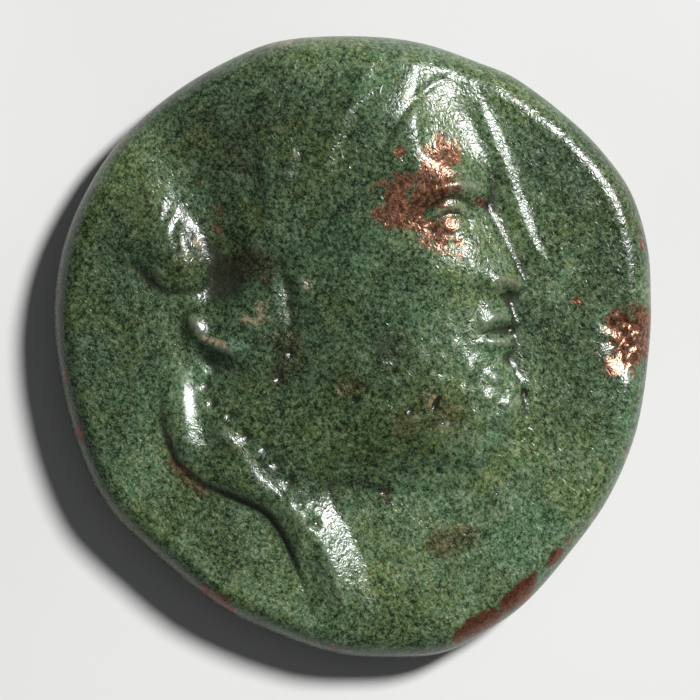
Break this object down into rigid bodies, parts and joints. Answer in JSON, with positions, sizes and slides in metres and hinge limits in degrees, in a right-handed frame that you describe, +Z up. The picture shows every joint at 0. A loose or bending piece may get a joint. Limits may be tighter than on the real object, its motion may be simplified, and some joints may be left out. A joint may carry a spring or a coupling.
{
  "type": "coin",
  "caption": "Thick struck bronze coin lying flat, with a worn bearded head in crested headdress facing right and a plainer wreath on its underside.",
  "frame": {"origin": "under the middle of the coin's bounding box, on the flat foot ring that it rests on", "axes": "+Z up, out of the struck face; +Y towards the top of the head; +X the way the head faces"},
  "size_m": [0.0214, 0.0222, 0.0039],
  "materials": {
    "patinated_bronze": "green copper patina, semi-gloss and finely speckled, with worn coppery patches"
  },
  "bodies": {
    "root": {"coin": "patinated_bronze"}
  },
  "joints": []
}
